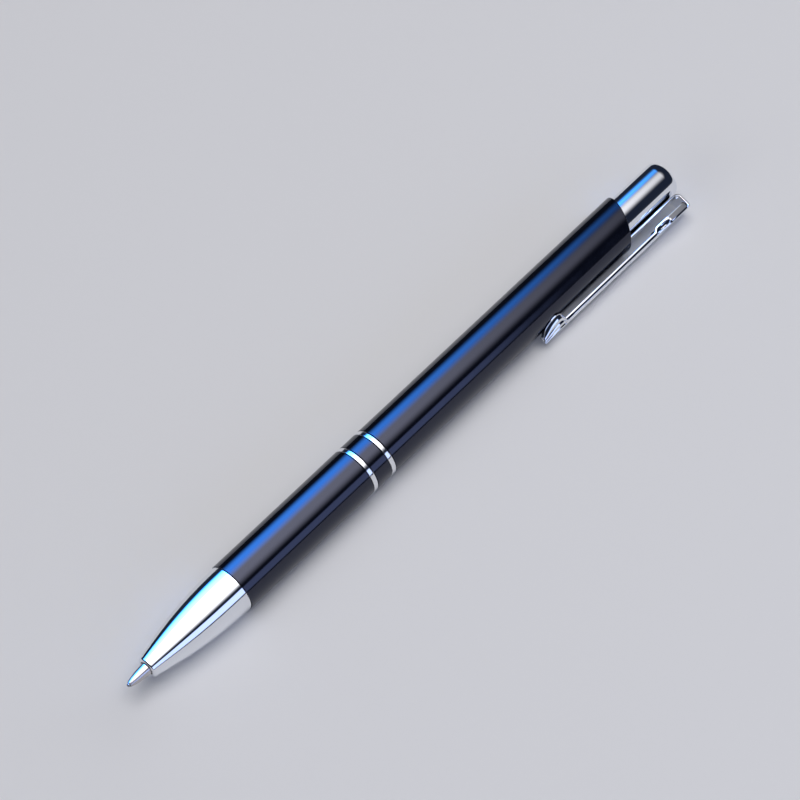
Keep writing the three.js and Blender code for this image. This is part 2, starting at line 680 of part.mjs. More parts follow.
// The clip, lofted through its cross-sections and closed with a flat face at each end.
function clip() {
  const loops = clipSections().map((section) => ({ section, corners: sectionCorners(section) }));
  const count = loops[0].corners.length;
  const positions = [];
  const faces = [];
  for (const { section, corners } of loops) {
    for (const [depth, across] of corners) {
      positions.push(
        section.out + depth * Math.cos(section.turn),
        section.station + depth * Math.sin(section.turn),
        across,
      );
    }
  }
  for (let j = 0; j + 1 < loops.length; j += 1) {
    for (let i = 0; i < count; i += 1) {
      const k = (i + 1) % count;
      const here = j * count;
      const next = here + count;
      faces.push(here + i, next + i, next + k, here + i, next + k, here + k);
    }
  }
  const close = (j, reversed) => {
    const flat = loops[j].corners.map(([depth, across]) => new THREE.Vector2(depth, across));
    const forwards = THREE.ShapeUtils.area(flat) > 0;
    for (const [p, q, r] of THREE.ShapeUtils.triangulateShape(flat, [])) {
      const turnsLeft = THREE.ShapeUtils.area([flat[p], flat[q], flat[r]]) > 0;
      const keep = (turnsLeft === forwards) !== reversed;
      const triangle = keep ? [p, q, r] : [p, r, q];
      faces.push(...triangle.map((corner) => j * count + corner));
    }
  };
  close(0, false);
  close(loops.length - 1, true);
  return solidOf(meshOf(positions, faces));
}

// The pieces, from the writing tip to the button, with their finishes
const ballShape = new THREE.SphereGeometry(BALL_RADIUS, 16, 12).translate(0, BALL_RADIUS, 0);
const noseBushingRear = NOSE_REAR + NOSE_STUB_LENGTH + BUSHING_EXTRA;
const upperBushingRear = COLLAR_REAR + COUPLER_REAR_STUB + BUSHING_EXTRA;
const pieces = [
  ['writing_ball', solidOf(ballShape), CARBIDE],
  ['refill_point', refillPoint(), NICKEL_SILVER],
  ['refill_adapter', refillAdapter(), BRASS],
  ['refill_tube', refillTube(), STEEL],
  ['ink_column', rod(REFILL_BORE - SNUG, INK_FRONT, INK_REAR), BLUE_INK],
  ['ink_follower', rod(REFILL_BORE - SNUG, FOLLOWER_FRONT, FOLLOWER_REAR), GREASE],
  ['refill_end_plug', refillPlug(), BLACK_PLASTIC],
  ['return_spring', returnSpring(), STEEL],
  ['nose_cone', noseCone(), CHROME],
  ['nose_bushing', bushing(LOWER_FRONT, noseBushingRear), BRASS],
  ['lower_barrel', tube(BARREL_RADIUS, BORE, LOWER_FRONT, LOWER_REAR), BLACK_LACQUER],
  ['front_ring', tube(BARREL_RADIUS, BORE, FRONT_RING, FRONT_RING + RING_WIDTH), BRIGHT_RING],
  ['coupler', coupler(), BLACK_LACQUER],
  ['rear_ring', tube(BARREL_RADIUS, BUSHING_INNER, REAR_RING, REAR_RING + RING_WIDTH), BRIGHT_RING],
  ['upper_bushing', bushing(UPPER_FRONT, upperBushingRear), BRASS],
  ['upper_barrel', upperBarrel(), BLACK_LACQUER],
  ['cam_housing', camHousing(), WHITE_PLASTIC],
  ['rotary_cam', rotaryCam(), WHITE_PLASTIC],
  ['plunger', plunger(), BLACK_PLASTIC],
  ['push_button', pushButton(), CHROME],
  ['clip', clip(), CHROME],
];

// The pen's own directions: away from the axis towards the clip, along the pen, and across.
const towardsClip = new THREE.Vector3(0, -Math.cos(CLIP_ROLL), -Math.sin(CLIP_ROLL));
const alongPen = new THREE.Vector3(1, 0, 0);
const acrossClip = new THREE.Vector3().crossVectors(towardsClip, alongPen);
const clipSideReach = CLIP_REACH * Math.cos(CLIP_ROLL) + BLOCK_WIDTH / 2 * Math.sin(CLIP_ROLL);

const pen = new THREE.Group();
pen.quaternion.setFromRotationMatrix(new THREE.Matrix4().makeBasis(towardsClip, alongPen, acrossClip));
pen.position.set(-BUTTON_END / 2, (clipSideReach - BARREL_RADIUS) / 2, BARREL_RADIUS);
for (const [name, solid, finish] of pieces) {
  const mesh = new THREE.Mesh(geometryOf(solid), new THREE.MeshStandardMaterial(finish));
  mesh.name = name;
  pen.add(mesh);
}

const model = new THREE.Group();
model.add(pen);

export default model;
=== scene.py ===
# A push-button ballpoint pen that lies on a pale floor: gloss black barrel, bright nose cone,
# rings and push button, and a bent sheet clip that ends in a ridged leaf.
#
# Pieces are shaped on a bench and then laid in the pen. On the bench X is the station, the
# distance from the writing tip along the pen. -Y points from the axis towards the clip, and
# Z points across the clip. Sizes are in millimetres.

import math

import bmesh
import bpy
from mathutils import Matrix, Quaternion, Vector


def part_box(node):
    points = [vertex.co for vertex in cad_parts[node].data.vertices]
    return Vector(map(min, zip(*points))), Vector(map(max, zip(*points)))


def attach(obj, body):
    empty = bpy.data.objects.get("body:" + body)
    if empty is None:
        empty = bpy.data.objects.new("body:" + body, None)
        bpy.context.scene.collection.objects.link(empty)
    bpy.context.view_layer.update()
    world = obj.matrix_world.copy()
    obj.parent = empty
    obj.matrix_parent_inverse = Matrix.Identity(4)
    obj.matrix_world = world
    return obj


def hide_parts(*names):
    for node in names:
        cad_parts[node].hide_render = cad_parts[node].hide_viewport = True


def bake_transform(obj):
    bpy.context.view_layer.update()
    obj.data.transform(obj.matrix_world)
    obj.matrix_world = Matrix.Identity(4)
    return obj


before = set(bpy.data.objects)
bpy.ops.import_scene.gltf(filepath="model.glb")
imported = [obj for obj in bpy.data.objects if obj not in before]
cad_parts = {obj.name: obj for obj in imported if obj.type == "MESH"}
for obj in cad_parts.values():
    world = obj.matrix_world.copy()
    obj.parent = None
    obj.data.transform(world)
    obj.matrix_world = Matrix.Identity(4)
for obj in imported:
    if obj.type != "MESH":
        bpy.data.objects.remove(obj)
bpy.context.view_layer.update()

MM = 0.001

# Barrel, nose cone and rings
BARREL_RADIUS = 4.75
BORE = 4.3
NOSE_FRONT = 4.5
NOSE_REAR = 24.9
NOSE_FRONT_RADIUS = 1.95
NOSE_REAR_RADIUS = 4.62
NOSE_FRONT_HANDLE = (10.5, 3.39)
NOSE_REAR_HANDLE = (16.0, 4.62)
NOSE_BORE = 1.35
NOSE_ROUNDING = 0.4
NOSE_ROUNDING_TURN = math.radians(78)
SPRING_POCKET = 2.325
SPRING_POCKET_FRONT = 9.0
SPRING_POCKET_REAR = 17.8
LOWER_BARREL = (24.96, 55.16)
FRONT_RING = (55.22, 56.17)
COLLAR = (56.23, 59.68)
REAR_RING = (59.74, 60.69)
UPPER_BARREL_FRONT = 60.75
LOWER_BARREL_ROUNDING = 0.1
UPPER_BARREL_ROUNDING = 0.12
RING_ROUNDING = 0.16
MOUTH = 124.2
MOUTH_SLANT = math.radians(22.6)
MOUTH_REACH = 10
REFILL_ROOM = 3.25
BUSHING_OUTER = 4.2
BUSHING_INNER = 3.9
STUB_RADIUS = 3.8
NOSE_STUB_END = 31.5
COUPLER_ENDS = (47.23, 67.68)

# Push button
BUTTON_RADIUS = 3.6
BUTTON_BORE = 3.25
BUTTON_FRONT = 115.4
BUTTON_END = 137.6
BUTTON_END_WALL = 0.9
BUTTON_ROUNDING = 1.4
BUTTON_OFFSET = 0.55

# Refill point, ball and return spring
BALL_RADIUS = 0.35
SPRING_FRONT = 9.3
SPRING_SEAT = 19.4
COIL_RADIUS = 1.8
WIRE = 0.45
SPRING_TURNS = 9.5
SPRING_PLAY = 0.06
STEPS_PER_TURN = 32

# Clip
SHEET = 0.45
CLIP_TOP = 136.2
CLIP_REACH = 6.65
TONGUE_BACK = 3.2
TONGUE_END = 104.8
TONGUE_WIDTH = 4.0
BLOCK_WIDTH = 4.3
BLOCK_DEPTH = 1.45
SHOULDER_START = 5.1
SHOULDER_END = 8.9
SCOOP_NARROWEST = 1.24
SCOOP_DEEPEST = 0.42
SCOOP_END = 0.94
SCOOP_HALF_HEIGHT = 0.4
BLOCK_BEVEL = 0.1
BLOCK_BEVEL_PART = 0.16
BLOCK_FLARE = 0.12
ARM_BEVEL = 0.09
ARM_BEVEL_PART = 0.6
ARM_WIDTH = 3.3
ARM_CREST = 0.22
ARM_SKIRT = 0.75
FOLD_START = 0.72
NECK_WIDTH = 2.2
NECK_LENGTH = 0.35
CLIP_LENGTH = 38.5
LEAF_LENGTH = 5.4
LEAF_WIDTH = 4.8
LEAF_DEPTH = 2.2
LEAF_SKIRT = 0.6
LEAF_FLUTE = 0.5
LEAF_TIP_WIDTH = 1.1
LEAF_TIP_DEPTH = 1.45
LEAF_TIP_START = 0.93
INNER_BEND = 1.1
OUTER_BEND = 0.6

# Fineness of the shapes
LATHE_STEPS = 128
ROUND_STEPS = 5

# The bench as it lies in the pen
barrel_low, barrel_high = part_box("lower_barrel")
tip_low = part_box("writing_ball")[0]
clip_roll = math.asin(BARREL_RADIUS / math.hypot(CLIP_REACH, BLOCK_WIDTH / 2))
clip_roll -= math.atan2(BLOCK_WIDTH / 2, CLIP_REACH)
pen_axis = Vector((
    tip_low.x,
    (barrel_low.y + barrel_high.y) / 2,
    (barrel_low.z + barrel_high.z) / 2,
))
IN_PEN = Matrix.Translation(pen_axis) @ Matrix.Rotation(clip_roll, 4, "X")


def only(piece):
    """Selects one piece and makes it the one that tools work on."""
    bpy.ops.object.select_all(action="DESELECT")
    piece.select_set(True)
    bpy.context.view_layer.objects.active = piece


def name_piece(name):
    """Names the piece that was just added."""
    piece = bpy.context.object
    piece.name = name
    piece.data.name = name
    return piece


def lay_in_pen(piece, angle=35):
    """Shades a finished bench piece and gives its mesh its place in the pen."""
    only(piece)
    bpy.ops.object.shade_smooth_by_angle(angle=math.radians(angle))
    piece.matrix_world = IN_PEN @ piece.matrix_world
    bpy.ops.object.transform_apply(location=True, rotation=True, scale=True)


def eased(corners):
    """Rounds an outline. Each corner is (station, radius) or (station, radius, rounding)."""
    points = []
    for i, corner in enumerate(corners):
        here = Vector(corner[:2])
        if len(corner) == 2:
            points.append(here)
            continue
        rounding = corner[2]
        back = Vector(corners[i - 1][:2]) - here
        ahead = Vector(corners[(i + 1) % len(corners)][:2]) - here
        first = here + back.normalized() * rounding
        last = here + ahead.normalized() * rounding
        if back.length > 2.5 * rounding:
            points.append(first + back.normalized() * rounding / 2)
        for k in range(ROUND_STEPS + 1):
            t = k / ROUND_STEPS
            points.append(first * (1 - t) ** 2 + here * 2 * t * (1 - t) + last * t * t)
        if ahead.length > 2.5 * rounding:
            points.append(last + ahead.normalized() * rounding / 2)
    return points


def turned(name, outline, steps=LATHE_STEPS, open_ended=False):
    """A piece turned on a lathe about X. An outline that starts on the axis ends there too."""
    corners = [Vector((station, 0, radius)) * MM for station, radius in outline]
    if not open_ended:
        corners.append(corners[0])
    bpy.ops.object.select_all(action="DESELECT")
    bpy.ops.mesh.primitive_plane_add(size=MM, location=(0, 0, 0))
    piece = name_piece(name)
    bpy.ops.object.mode_set(mode="EDIT")
    bpy.ops.mesh.select_all(action="SELECT")
    bpy.ops.mesh.merge(type="CENTER")
    bpy.ops.transform.translate(value=corners[0])
    for here, there in zip(corners, corners[1:]):
        bpy.ops.mesh.extrude_vertices_move(TRANSFORM_OT_translate={"value": there - here})
    bpy.ops.mesh.select_all(action="SELECT")
    bpy.ops.mesh.spin(steps=steps, angle=2 * math.pi, center=(0, 0, 0), axis=(1, 0, 0))
    bpy.ops.mesh.select_all(action="SELECT")
    bpy.ops.mesh.remove_doubles(threshold=MM / 500)
    bpy.ops.mesh.normals_make_consistent(inside=False)
    bpy.ops.object.mode_set(mode="OBJECT")
    return piece


def tube_outline(front, rear, outer, inner, rounding):
    """A tube between two stations, with its outer edges rounded."""
    return eased([
        (front, inner, rounding / 2),
        (front, outer, rounding),
        (rear, outer, rounding),
        (rear, inner, rounding / 2),
    ])


def make_nose_cone():
    """The swelling nose with its spring pocket, and the stub that screws into the barrel."""
    start = Vector((NOSE_FRONT, NOSE_FRONT_RADIUS))
    end = Vector((NOSE_REAR, NOSE_REAR_RADIUS))
    first, second = Vector(NOSE_FRONT_HANDLE), Vector(NOSE_REAR_HANDLE)
    swell = []
    steps = 56
    for k in range(steps + 1):
        t = k / steps
        u = 1 - t
        swell.append(start * u**3 + first * 3 * u * u * t + second * 3 * u * t * t + end * t**3)
    swell = [place for place in swell if place.x > NOSE_FRONT + NOSE_ROUNDING]
    centre = Vector((NOSE_FRONT + NOSE_ROUNDING, swell[0].y - NOSE_ROUNDING))
    rounding_points = 8
    for k in range(rounding_points):
        turn = NOSE_ROUNDING_TURN * k / (rounding_points - 1)
        swell.insert(0, centre + Vector((-math.sin(turn), math.cos(turn))) * NOSE_ROUNDING)
    swell[-1] = Vector((NOSE_REAR - 0.1, NOSE_REAR_RADIUS))
    rear_edge = eased([
        (NOSE_REAR - 1, NOSE_REAR_RADIUS),
        (NOSE_REAR, NOSE_REAR_RADIUS, 0.08),
        (NOSE_REAR, STUB_RADIUS),
        (NOSE_STUB_END, STUB_RADIUS, 0.2),
        (NOSE_STUB_END, REFILL_ROOM, 0.1),
        (SPRING_POCKET_REAR, REFILL_ROOM),
        (SPRING_POCKET_REAR, SPRING_POCKET, 0.1),
        (SPRING_POCKET_FRONT, SPRING_POCKET),
        (SPRING_POCKET_FRONT, NOSE_BORE),
        (NOSE_FRONT, NOSE_BORE, 0.08),
        (NOSE_FRONT, NOSE_FRONT_RADIUS - NOSE_ROUNDING),
    ])[1:]
    return turned("nose_shell", swell + rear_edge)


def make_upper_barrel():
    """The long tube. Its mouth is cut on a slant that is lowest beside the clip. The tube has
    points only at its two ends, and those within reach of the mouth are slanted."""
    piece = turned(
        "upper_tube",
        tube_outline(UPPER_BARREL_FRONT, MOUTH, BARREL_RADIUS, BORE, UPPER_BARREL_ROUNDING),
    )
    for vertex in piece.data.vertices:
        if vertex.co.x > (MOUTH - MOUTH_REACH) * MM:
            vertex.co.x += vertex.co.y * math.tan(MOUTH_SLANT)
    return piece


def make_coupler():
    """The black collar between the rings, with a stub into each barrel."""
    front, rear = COUPLER_ENDS
    return turned("collar_coupler", eased([
        (front, REFILL_ROOM, 0.1),
        (front, BUSHING_OUTER, 0.2),
        (COLLAR[0], BUSHING_OUTER),
        (COLLAR[0], BARREL_RADIUS, 0.08),
        (COLLAR[1], BARREL_RADIUS, 0.08),
        (COLLAR[1], STUB_RADIUS),
        (rear, STUB_RADIUS, 0.2),
        (rear, REFILL_ROOM, 0.1),
    ]))


def make_button():
    """The bright cup over the plunger. It sits off the axis, away from the clip."""
    floor = BUTTON_END - BUTTON_END_WALL
    outline = eased([
        (floor, 0),
        (floor, BUTTON_BORE, 0.3),
        (BUTTON_FRONT, BUTTON_BORE, 0.08),
        (BUTTON_FRONT, BUTTON_RADIUS, 0.15),
        (BUTTON_END, BUTTON_RADIUS, BUTTON_ROUNDING),
        (BUTTON_END, 0),
    ])
    piece = turned("button_cup", outline, open_ended=True)
    piece.location.y = BUTTON_OFFSET * MM
    return piece


def make_refill_point():
    """The slim cone that carries the ball, with the ink channel through it."""
    return turned("point_cone", eased([
        (0.45, 0.41),
        (0.45, 0.5, 0.05),
        (1.3, 0.74),
        (2.3, 0.95),
        (4.1, 1.15, 0.2),
        (4.45, 1.2),
        (9.0, 1.2, 0.1),
        (9.0, 0.8),
        (12.0, 0.8, 0.1),
        (12.0, 0.3),
        (0.9, 0.3),
        (0.8, 0.41),
    ]), steps=64)


def make_ball():
    """The ball, ground round from a cube so that its facets are even."""
    bpy.ops.object.select_all(action="DESELECT")
    bpy.ops.mesh.primitive_cube_add(size=BALL_RADIUS * MM, location=(0, 0, 0))
    piece = name_piece("rolling_ball")
    bpy.ops.object.mode_set(mode="EDIT")
    bpy.ops.mesh.select_all(action="SELECT")
    bpy.ops.mesh.subdivide(number_cuts=15)
    bpy.ops.transform.tosphere(value=1)
    bpy.ops.object.mode_set(mode="OBJECT")
    grown = BALL_RADIUS * MM / piece.data.vertices[0].co.length
    piece.scale = (grown, grown, grown)
    piece.location = (BALL_RADIUS * MM, 0, 0)
    return piece


def make_spring():
    """One round wire wound in a helix, with its two ends closed."""
    bpy.ops.object.select_all(action="DESELECT")
    front = SPRING_FRONT + WIRE / 2 + SPRING_PLAY
    length = SPRING_SEAT - WIRE / 2 - SPRING_PLAY - front
    bpy.ops.mesh.primitive_circle_add(
        vertices=12, radius=WIRE / 2 * MM, location=(0, 0, 0), rotation=(math.pi / 2, 0, 0)
    )
    piece = name_piece("coil_wire")
    bpy.ops.object.transform_apply(location=True, rotation=True, scale=True)
    bpy.ops.object.mode_set(mode="EDIT")
    bpy.ops.mesh.select_all(action="SELECT")
    bpy.ops.transform.translate(value=(front * MM, 0, COIL_RADIUS * MM))
    bpy.ops.object.mode_set(mode="OBJECT")
    winding = piece.modifiers.new("winding", "SCREW")
    winding.axis = "X"
    winding.angle = SPRING_TURNS * 2 * math.pi
    winding.screw_offset = length * MM
    winding.steps = winding.render_steps = int(SPRING_TURNS * STEPS_PER_TURN)
    winding.use_merge_vertices = False
    only(piece)
    bpy.ops.object.modifier_apply(modifier="winding")
    bpy.ops.object.mode_set(mode="EDIT")
    bpy.ops.mesh.select_all(action="SELECT")
    bpy.ops.mesh.fill_holes(sides=0)
    bpy.ops.mesh.select_all(action="SELECT")
    bpy.ops.mesh.normals_make_consistent(inside=False)
    bpy.ops.object.mode_set(mode="OBJECT")
    return piece


def ease(value):
    """Goes smoothly from 0 to 1."""
    t = min(1, max(0, value))
    return t * t * (3 - 2 * t)


def mix(a, b, part):
    """The value at a part of the way from a to b."""
    return a + (b - a) * part


# Points in half of the clip's cross-section
FACE_POINTS = 31
CORNER_POINTS = 3
SIDE_POINTS = 16
INSIDE_POINTS = 6
# Where the side wall is sampled, in half widths of the scoop, and how deep the scoop is there
SCOOP_SHAPE = (
    (-1.3, 0), (-1.06, 0), (-0.98, 0.12), (-0.9, 0.4), (-0.82, 0.72), (-0.73, 0.94), (-0.62, 1),
    (0, 1),
    (0.62, 1), (0.73, 0.94), (0.82, 0.72), (0.9, 0.4), (0.98, 0.12), (1.06, 0), (1.3, 0),
)
# How far a skirt reaches past the sheet before it counts as turned in
TURN_IN = 0.15
# Roundings of the outer edge and of the lip below it, on a turned-in and on a plain edge
EDGE_ROUNDING = 0.14
PLAIN_EDGE_ROUNDING = 0.2
LIP_ROUNDING = 0.12
PLAIN_LIP_ROUNDING = 0.18
# The raised middle's part of the face, how the roof falls, and how the grooves are spaced and cut
CREST_PART = 0.35
ROOF_CURVE = 1.8
GROOVE_WAVES = 2.5
GROOVE_CURVE = 1.6


def half_section(
    half,
    skirt=SHEET,
    crest=0,
    roof=0,
    flute=0,
    scoop=0,
    scoop_width=0.3,
    bevel=0,
    bevel_part=ARM_BEVEL_PART,
    flare=0,
):
    """Half a cross-section as (depth, across) from the middle of the outer face to the
    middle of the inner face. A crest is a raised middle, a roof is a fall towards the edge,
    a flute is the depth of the grooves, and a skirt is a turned-in edge. A scoop dents the
    skirt, a bevel takes off its outer corner and a flare leans it outwards."""
    wall = min(SHEET, 0.45 * half)
    turned_in = ease((skirt - SHEET) / TURN_IN)
    edge = min(mix(EDGE_ROUNDING, PLAIN_EDGE_ROUNDING, 1 - turned_in), 0.3 * half)
    lip = min(mix(LIP_ROUNDING, PLAIN_LIP_ROUNDING, 1 - turned_in), wall / 2.2)
    flat = half - edge - bevel

    def drop(part):
        return crest * ease(part / CREST_PART) + roof * part**ROOF_CURVE

    def groove(part):
        return flute * (1 - abs(math.cos(GROOVE_WAVES * math.pi * part))) ** GROOVE_CURVE

    points = []
    for i in range(FACE_POINTS):
        part = i / (FACE_POINTS - 1)
        points.append((drop(part) + groove(part), flat * part))
    corner = drop(1) + groove(1)
    for k in range(1, CORNER_POINTS + 1):
        turn = math.pi / 2 * k / CORNER_POINTS
        points.append((corner + edge * (1 - math.cos(turn)), flat + edge * math.sin(turn)))
    bottom = crest + roof + skirt
    top = corner + edge
    low = max(bottom - lip, top + 0.01)
    for place, deep in SCOOP_SHAPE:
        part = 0.5 + place * scoop_width
        cut = scoop * deep + bevel * max(0, 1 - part / bevel_part) - flare * part
        points.append((mix(top, low, part), half - cut))
    half += flare
    points.append((low, half))
    for k in range(1, CORNER_POINTS + 1):
        turn = math.pi / 2 * k / CORNER_POINTS
        points.append((low + lip * math.sin(turn), half - lip * (1 - math.cos(turn))))
    bottom = low + lip
    seat = drop(1) + SHEET
    steps = CORNER_POINTS + SIDE_POINTS
    start = half - lip
    inner = half - wall - lip
    for k in range(1, steps + 1):
        plain = (bottom, mix(start - 0.02, inner, k / steps))
        if k <= CORNER_POINTS:
            turn = math.pi / 2 * k / CORNER_POINTS
            folded = (bottom - lip * (1 - math.cos(turn)), half - wall + lip * (1 - math.sin(turn)))
        else:
            place, deep = (*SCOOP_SHAPE, (0.5 / scoop_width, 0))[k - CORNER_POINTS - 1]
            part = 0.5 + place * scoop_width
            folded = (mix(bottom - lip, seat, part), half - wall - flare * part - scoop * deep)
        points.append(tuple(mix(a, b, turned_in) for a, b in zip(plain, folded)))
    last_across = points[-1][1]
    for k in range(1, INSIDE_POINTS + 1):
        across = last_across * (1 - k / INSIDE_POINTS)
        points.append((drop(min(1, across / flat)) + SHEET, across))
    return points


# The tongue's end: how far from it, and how much is off each side there
TONGUE_CORNERS = ((0, 0.3), (0.1, 0.1), (0.35, 0))
# Where the tongue widens: how far below the clip's top, and how much of the way it has come
TONGUE_WIDENING = ((6.5, 0), (6.2, 0.25), (5.9, 0.75), (5.6, 1), (2, 1))
# Where the block's edges turn in: how far below the bend, and how much of their depth is there
BLOCK_EDGES = ((0.04, 0.35), (0.08, 0.75), (0.16, 0.94), (0.3, 1), (1.2, 1), (2.6, 1), (4.2, 1))
# Parts of the neck's length where it is drawn
NECK_PARTS = (0.2, 0.45, 0.7, 0.88)
# The leaf from its shoulders to its tip: how far along, how wide and how deep
LEAF_OUTLINE = [
    (0.0, 0.62, 0.35),
    (0.07, 0.86, 0.75),
    (0.17, 0.98, 0.97),
    (0.28, 1.0, 1.0),
    (0.42, 0.92, 0.95),
    (0.57, 0.73, 0.8),
    (0.72, 0.48, 0.55),
    (0.86, 0.22, 0.25),
    (0.95, 0.07, 0.05),
    (1.0, 0.0, 0.0),
]


def leaf_size(along):
    """Width and depth of the leaf at a place along it, on a smooth curve."""
    for i in range(len(LEAF_OUTLINE) - 1):
        if along <= LEAF_OUTLINE[i + 1][0]:
            break
    before = LEAF_OUTLINE[max(0, i - 1)]
    here, there = LEAF_OUTLINE[i], LEAF_OUTLINE[i + 1]
    after = LEAF_OUTLINE[min(len(LEAF_OUTLINE) - 1, i + 2)]
    gap = there[0] - here[0]
    t = (along - here[0]) / gap
    sizes = []
    for k in (1, 2):
        slope_here = (there[k] - before[k]) / (there[0] - before[0]) * gap
        slope_there = (after[k] - here[k]) / (after[0] - here[0]) * gap
        sizes.append(
            (2 * t**3 - 3 * t**2 + 1) * here[k]
            + (t**3 - 2 * t**2 + t) * slope_here
            + (3 * t**2 - 2 * t**3) * there[k]
            + (t**3 - t**2) * slope_there
        )
    return sizes


def clip_rows():
    """The clip's cross-sections from the tongue's end over the top to the leaf's tip."""
    rows = []

    def add(out, station, turn, **sizes):
        rows.append((out, station, turn, half_section(**sizes)))

    tongue, strip = TONGUE_WIDTH / 2, BLOCK_WIDTH / 2
    for rise, narrowing in TONGUE_CORNERS:
        add(TONGUE_BACK, TONGUE_END + rise, math.pi, half=tongue - narrowing)
    add(TONGUE_BACK, MOUTH - 4, math.pi, half=tongue)
    for drop_down, part in TONGUE_WIDENING:
        add(TONGUE_BACK, CLIP_TOP - drop_down, math.pi, half=mix(tongue, strip, part))
    bend_steps = 10
    for i in range(bend_steps + 1):
        turn = math.pi / 2 * i / bend_steps
        out = TONGUE_BACK + INNER_BEND * (1 - math.cos(turn))
        add(out, CLIP_TOP - INNER_BEND * (1 - math.sin(turn)), math.pi - turn, half=strip)
    for i in range(bend_steps + 1):
        turn = math.pi / 2 * i / bend_steps
        out = CLIP_REACH - OUTER_BEND * (1 - math.sin(turn))
        add(out, CLIP_TOP - OUTER_BEND * (1 - math.cos(turn)), math.pi / 2 - turn, half=strip)

    def arm(fall, **sizes):
        add(CLIP_REACH, CLIP_TOP - fall, 0, **sizes)

    for fall, deep in BLOCK_EDGES:
        arm(
            OUTER_BEND + fall,
            half=strip,
            skirt=mix(SHEET, BLOCK_DEPTH, deep),
            bevel=BLOCK_BEVEL * deep,
            bevel_part=BLOCK_BEVEL_PART,
            flare=BLOCK_FLARE * deep,
        )
    shoulder_steps = 48
    for i in range(shoulder_steps + 1):
        part = i / shoulder_steps
        fall = mix(SHOULDER_START, SHOULDER_END, part)
        half = mix(BLOCK_WIDTH, ARM_WIDTH, ease(part)) / 2
        folded = ease((part - FOLD_START) / (1 - FOLD_START))
        swelling = math.sin(math.pi * min(1, part / SCOOP_END))
        if part < SCOOP_DEEPEST:
            floor_half = mix(BLOCK_WIDTH / 2, SCOOP_NARROWEST, part / SCOOP_DEEPEST)
        else:
            rising = (part - SCOOP_DEEPEST) / (SCOOP_END - SCOOP_DEEPEST)
            floor_half = mix(SCOOP_NARROWEST, ARM_WIDTH / 2 + 0.04, rising)
        arm(
            fall,
            half=half,
            skirt=mix(mix(BLOCK_DEPTH, 0.9 * BLOCK_DEPTH, part), ARM_SKIRT, folded),
            crest=ARM_CREST * part,
            scoop=max(0, half - floor_half),
            scoop_width=max(0.05, SCOOP_HALF_HEIGHT * swelling**0.4),
            bevel=mix(BLOCK_BEVEL, ARM_BEVEL, part),
            bevel_part=mix(BLOCK_BEVEL_PART, ARM_BEVEL_PART, folded),
            flare=BLOCK_FLARE * (1 - part),
        )
    leaf_top = CLIP_LENGTH - LEAF_LENGTH
    arm_steps = 14
    for i in range(1, arm_steps + 1):
        part = i / arm_steps
        arm(
            mix(SHOULDER_END, leaf_top - NECK_LENGTH, part),
            half=mix(ARM_WIDTH, NECK_WIDTH, part) / 2,
            skirt=ARM_SKIRT,
            crest=ARM_CREST,
            bevel=ARM_BEVEL,
            bevel_part=ARM_BEVEL_PART,
        )
    neck_width, neck_depth = leaf_size(0)
    for part in NECK_PARTS:
        grown = ease(part)
        first = mix(LEAF_TIP_WIDTH, LEAF_WIDTH, neck_width) / 2
        deep = mix(LEAF_TIP_DEPTH, LEAF_DEPTH, neck_depth) - ARM_CREST / 2 - LEAF_SKIRT
        arm(
            leaf_top - NECK_LENGTH + NECK_LENGTH * part,
            half=mix(NECK_WIDTH / 2, first, grown),
            skirt=mix(ARM_SKIRT, LEAF_SKIRT, grown),
            crest=mix(ARM_CREST, ARM_CREST / 2, grown),
            roof=deep * grown,
            flute=LEAF_FLUTE * grown * neck_width,
            bevel=ARM_BEVEL * (1 - grown),
            bevel_part=ARM_BEVEL_PART,
        )
    leaf_steps = 40
    for i in range(leaf_steps + 1):
        along = i / leaf_steps
        wide, deep = leaf_size(along)
        roof = mix(LEAF_TIP_DEPTH, LEAF_DEPTH, deep) - ARM_CREST / 2 - LEAF_SKIRT
        into_tip = max(0, (along - LEAF_TIP_START) / (1 - LEAF_TIP_START))
        round_off = math.sqrt(max(0, 1 - into_tip**2))
        arm(
            leaf_top + LEAF_LENGTH * along,
            half=mix(LEAF_TIP_WIDTH, LEAF_WIDTH, max(0, wide)) / 2 * mix(0.35, 1, round_off),
            skirt=LEAF_SKIRT,
            crest=ARM_CREST / 2,
            roof=roof,
            flute=LEAF_FLUTE * ease(max(0, wide) * 2 + 0.1),
        )
    return rows


def ring_places(row):
    """The corners of one cross-section on the bench, all the way round."""
    out, station, turn, half = row
    loop = half + [(depth, -across) for depth, across in half[-2:0:-1]]
    places = []
    for depth, across in loop:
        reach = out - depth * math.cos(turn)
        places.append(Vector((station - depth * math.sin(turn), -reach, across)) * MM)
    return places


def make_clip():
    """The clip: one closed skin that is drawn out ring by ring along the bent sheet."""
    rings = [ring_places(row) for row in clip_rows()]
    count = len(rings[0])
    bpy.ops.object.select_all(action="DESELECT")
    bpy.ops.mesh.primitive_circle_add(vertices=count, radius=MM, fill_type="NGON")
    piece = name_piece("leaf_clip")
    bpy.ops.object.mode_set(mode="EDIT")
    bpy.ops.mesh.select_all(action="SELECT")
    ring = list(range(count))
    for j, places in enumerate(rings):
        if j:
            bpy.ops.mesh.extrude_region_move()
        skin = bmesh.from_edit_mesh(piece.data)
        skin.verts.ensure_lookup_table()
        if j:
            ring = [
                next(e.other_vert(skin.verts[i]).index for e in skin.verts[i].link_edges
                     if e.other_vert(skin.verts[i]).select)
                for i in ring
            ]
        for i, place in zip(ring, places):
            skin.verts[i].co = place
        bmesh.update_edit_mesh(piece.data)
    bpy.ops.mesh.select_all(action="SELECT")
    bpy.ops.mesh.normals_make_consistent(inside=False)
    bpy.ops.object.mode_set(mode="OBJECT")
    return piece


# Stretch of a pattern into lines that run round the pen
ROUND_THE_PEN = (1, 0.02, 0.02)
# Most of a noise pattern's values lie between these two
NOISE_LOW = 0.3
NOISE_HIGH = 0.7


